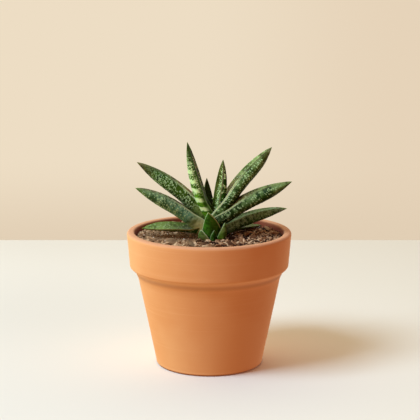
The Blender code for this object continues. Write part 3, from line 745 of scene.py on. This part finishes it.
def makeLeaf(leaf, seed):
    # The section carried along the spine. Flecks, beads along the margins and wrinkles are raised outwards,
    # along the cross product of the surface's two slopes. One point closes the tip, and quads from side to
    # side close the foot.
    length, sheath = leaf["length"], leaf["sheath"]
    looks = {**leafLooks, **leaf["looks"]}
    ring = leafRing(leaf)
    rows = round((length + sheath) / leafShape["spacing"])
    places = -sheath + (length * leafShape["tipStart"] + sheath) * np.linspace(0, 1, rows)
    share = np.clip(places / length, 0, 1)
    sideways, height, shape = leafSection(leaf, ring, looks["bulge"], places, share)
    along = places[:, None] + 0 * ring.u
    masks, x, y = leafMarks(ring, looks, sideways, height, along, share[:, None], seed)

    spine = leafSpine(leaf, places)
    _, side, normal = leafDirections(leaf, places)
    points = spine[:, None] + side[:, None] * sideways[..., None] + normal[:, None] * height[..., None]
    outward = np.cross(np.roll(points, -1, 1) - np.roll(points, 1, 1), np.gradient(points, axis=0))
    outward /= np.maximum(np.linalg.norm(outward, axis=2), 1e-9)[..., None]
    outward *= np.sign(np.sum(outward * (points - points.mean(1, keepdims=True)), 2).mean())
    bead = np.sin(along * 2 * np.pi / leafShape["beadSize"] + 2 * swells(x, y, 2, seed + 12))
    raised = leafShape["fleckHeight"] * masks["fleck"] * np.minimum(1, shape * 2)
    raised = raised + leafShape["beadHeight"] * np.maximum(0, bead) * masks["rim"] * shape
    raised = raised + leafShape["wrinkle"] * swells(x, y, 2.4, seed + 13) * shape
    points = points + outward * raised[..., None]

    around, j = ring.around, np.arange(ring.half)
    points = np.concatenate([points.reshape(-1, 3), leafSpine(leaf, np.array([length]))])
    faces = ringFaces(rows, around)
    faces += fanFaces((rows - 1) * around, around, rows * around, False)
    faces += np.stack([j + 1, j, (around - j) % around, around - j - 1], -1).tolist()
    tipValues = dict(fleck=0, band=0, rim=0, upper=0, reach=1, flank=1, mottle=0.5, streak=0)
    masks = {key: np.append(np.ravel(value), tipValues[key]) for key, value in masks.items()}
    words = leaf["name"].split("_")
    name = words[0] + "".join(word.capitalize() for word in words[1:])
    makePiece(name, points, faces, leafFinish(name, looks), [leaf["name"]], masks)


def blend(leaf, reach, names, spots):
    # Colours that follow one another from foot to tip.
    color = tint(shades[names[0]])
    for before, after, was, name in zip(spots, spots[1:], names, names[1:]):
        if name != was:
            color = leaf.mix(color, tint(shades[name]), leaf.ramp(reach, before, after))
    return color


def leafFinish(name, looks):
    # Flank colours that change along the leaf and mottle in soft bands, the upper face's own colours, painted
    # shade towards the keel and, where set, near the margins, and over them painted light near the margin,
    # crossbands, streaks, raised flecks and the margin.
    leaf = Finish(name + "Skin", Specular_IOR_Level=leafSkin["gloss"], Subsurface_Weight=leafSkin["through"],
                  Subsurface_Radius=leafSkin["throughColor"], Subsurface_Scale=leafSkin["throughDepth"])
    place = leaf.place()
    broad = leaf.noise(place, 150, 2, 0.5)
    fine = leaf.noise(place, 900, 2, 0.6)
    reach, rim, fleck = leaf.mask("reach"), leaf.mask("rim"), leaf.mask("fleck")
    wandering = reach + broad * 0.14 - 0.07
    color = blend(leaf, wandering, looks["flank"], flankSpots)
    upper = blend(leaf, wandering, looks["upper"], upperSpots)
    color = leaf.mix(color, upper, leaf.mask("upper"))
    dark = leaf.mix(color, leafSkin["darkening"], 1.0, "MULTIPLY")
    lit = leaf.ramp(leaf.mask("mottle") * 0.65 + fine * 0.2 + broad * 0.15, 0.28, 0.62)
    color = leaf.mix(dark, color, lit * 0.85 + 0.15)
    toMargin = leaf.mask("flank")
    # painted shade towards the keel
    color = leaf.mix(color, dark, leaf.ramp(toMargin, looks["shadeReach"], 0.0) * looks["shade"])
    # painted shade near the margins
    if looks["edgeDark"]:
        color = leaf.mix(color, tint(shades["deep"]), leaf.ramp(toMargin, 0.65, 0.85) * looks["edgeDark"])
    # painted light: a paler zone near the margin, where the flank turns up to the light
    pale = leaf.ramp(toMargin, 0.35, 0.95) * leaf.ramp(fine * 0.6 + leaf.mask("mottle") * 0.4, 0.35, 0.6)
    color = leaf.mix(color, tint(shades[looks["glowShade"]]), pale * looks["glow"])
    if looks["bands"]:
        color = leaf.mix(color, tint(shades["white"]), leaf.mask("band"))
    if looks["streaks"]:
        color = leaf.mix(color, tint(shades["sage"]), leaf.mask("streak") * 0.6)
    tipDull = leaf.ramp(reach, looks["flecksTo"] + 0.1, looks["flecksTo"] - 0.1) * 0.85 + 0.1
    thinned = 1 - leaf.ramp(toMargin, 0.7, 0.1) * looks["fade"]
    color = leaf.mix(color, tint(shades[looks["dots"]]), fleck * tipDull * thinned)
    rimAmount = leaf.ramp(reach, looks["rimReach"] + 0.15, looks["rimReach"] - 0.15) * 0.8 + 0.1
    color = leaf.mix(color, tint(shades[looks["rim"]]), rim * rimAmount * looks["rimStrength"])
    leaf.paint("Base Color", color)
    leaf.paint("Roughness", leafSkin["roughness"] + fleck * leafSkin["fleckRoughness"] + fine * 0.14)
    leaf.relief(fine + broad * 0.5, 0.00012, 0.5)
    return leaf


makeSoil()
scatter("soilCrumbs", roundShape(), earthFinish("crumb", soilBits["soilCrumbs"]["pale"]))
scatter("barkChips", roundShape(), earthFinish("bark", soilBits["barkChips"]["pale"]))
scatter("pumiceGrains", finerShape(*roundShape()), stoneFinish(), frontGrains)
for number, row in enumerate(leafTable):
    makeLeaf(row, 100 + 20 * number)


# Stem: the solid stays as it is, with a fibrous skin of its own

stem = dict(dark=tint("8B8A4A"), light=tint("A9A765"), roughness=0.6, fibre=400)


def dressStem():
    # Two near shades by fine noise.
    skin = Finish("stemSkin", Roughness=stem["roughness"])
    fibres = skin.noise(skin.place(), stem["fibre"], 3, 0.6)
    skin.paint("Base Color", skin.mix(stem["dark"], stem["light"], skin.ramp(fibres, 0.3, 0.7)))
    skin.relief(fibres, 0.0002, 0.5)
    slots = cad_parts["stem"].data.materials
    slots.clear()
    slots.append(skin.material)
    print("stem dressed")


dressStem()


# Floor, wall colour and light

studio = dict(
    floorLeft=tint("DED1C0"), floorPaintedLight=tint("EBDECC"), floorFar=0.383, floorNear=-3.0, floorSide=3.0,
    floorHeight=-0.0002,
    wallHigh=tint("EDDDC4"), wallLow=tint("E1CEB4"), wallRight=tint("E6D3B9"),
    keyColor=(0.513, 0.734, 1.0), keyPower=24.4, keySize=0.58, keyDistance=1.35,
    keyAzimuth=30.0, keyHeight=48.0, keyAim=0.06,  # degrees, and the height of the point that it faces
)
roomLight = [  # the direction that light comes from, and its colour and strength
    ((0, 1, 0), (1.573, 1.475, 1.157)), ((-1, 0, 0), (0.906, 0.961, 0.64)), ((1, 0, 0), (0.22, 0.095, 0.064)),
    ((0, -1, 0), (0.42, 0.17, 0.11)), ((0, 0, -1), (0.42, 0.31, 0.22)),
]


def makeFloor():
    # A plain top just below the pot, a little paler towards the right and the back: painted light where the
    # key's light falls off.
    x, near, far, z = studio["floorSide"], studio["floorNear"], studio["floorFar"], studio["floorHeight"]
    mesh = bpy.data.meshes.new("tableTop")
    mesh.from_pydata([(-x, near, z), (x, near, z), (x, far, z), (-x, far, z)], [], [(0, 1, 2, 3)])
    finish = Finish("paleTable", Roughness=0.85, Specular_IOR_Level=0.2)
    place = finish.place()
    across, cloud, back = finish.axis(place, 0), finish.noise(place, 1.5, 2, 0.5), finish.axis(place, 1)
    # painted light: paler towards the right and the back, where the key's light falls off
    share = finish.ramp(across, -0.16, 0.08) + finish.ramp(back, 0.08, 0.3) * 0.9 + cloud * 0.1 - 0.05
    finish.paint("Base Color", finish.mix(studio["floorLeft"], studio["floorPaintedLight"], share))
    mesh.materials.append(finish.material)
    floor = bpy.data.objects.new("tableTop", mesh)
    bpy.context.scene.collection.objects.link(floor)
    floor.visible_diffuse = floor.visible_shadow = False  # the room's light alone fills the shaded sides


def makeWorld():
    # Light from all round, each part as strong as the cosine to its own direction, and the plain wall where
    # the camera sees past the table, with painted shade that makes it a little darker low down and towards
    # the right.
    world = bpy.data.worlds.new("room")
    world.use_nodes = True
    sky = Graph(world.node_tree)
    sky.tree.nodes.clear()
    ray = sky.node("ShaderNodeTexCoord", {}, {})
    total = None
    for direction, color in roomLight:
        facing = sky.node("ShaderNodeVectorMath", dict(operation="DOT_PRODUCT"), {0: ray, 1: direction}, 1)
        facing = sky.maths("MAXIMUM", facing, 0.0)
        part = sky.node("ShaderNodeVectorMath", dict(operation="SCALE"), {0: color, "Scale": facing})
        total = part if total is None else sky.node("ShaderNodeVectorMath", {}, {0: total, 1: part})
    height, side = sky.axis(ray, 2), sky.axis(ray, 0)
    # painted shade: darker towards the right and low down
    wallColor = sky.mix(studio["wallHigh"], studio["wallRight"], sky.ramp(side, -0.02, 0.15))
    wallColor = sky.mix(wallColor, studio["wallLow"], sky.ramp(height, -0.15, -0.225))
    room = sky.node("ShaderNodeBackground", {}, {"Color": total})
    wall = sky.node("ShaderNodeBackground", {}, {"Color": wallColor})
    seen = sky.node("ShaderNodeLightPath", {}, {}, 0)
    choose = sky.node("ShaderNodeMixShader", {}, {0: seen, 1: room, 2: wall})
    sky.node("ShaderNodeOutputWorld", {}, {"Surface": choose}, None)
    bpy.context.scene.world = world


def makeKey():
    # A square soft light up to the left and a little in front, turned to a point above the floor.
    data = bpy.data.lights.new("softKey", "AREA")
    data.energy, data.size, data.color = studio["keyPower"], studio["keySize"], studio["keyColor"]
    light = bpy.data.objects.new("softKey", data)
    a, e = math.radians(studio["keyAzimuth"]), math.radians(studio["keyHeight"])
    d = studio["keyDistance"]
    level = d * math.cos(e)
    light.location = (-level * math.cos(a), -level * math.sin(a), studio["keyAim"] + d * math.sin(e))
    light.rotation_euler = (math.radians(90) - e, 0, math.radians(-90) + a)
    bpy.context.scene.collection.objects.link(light)


makeFloor()
makeWorld()
makeKey()
bpy.context.scene.view_settings.view_transform = "Standard"
print("floor, wall and light made")
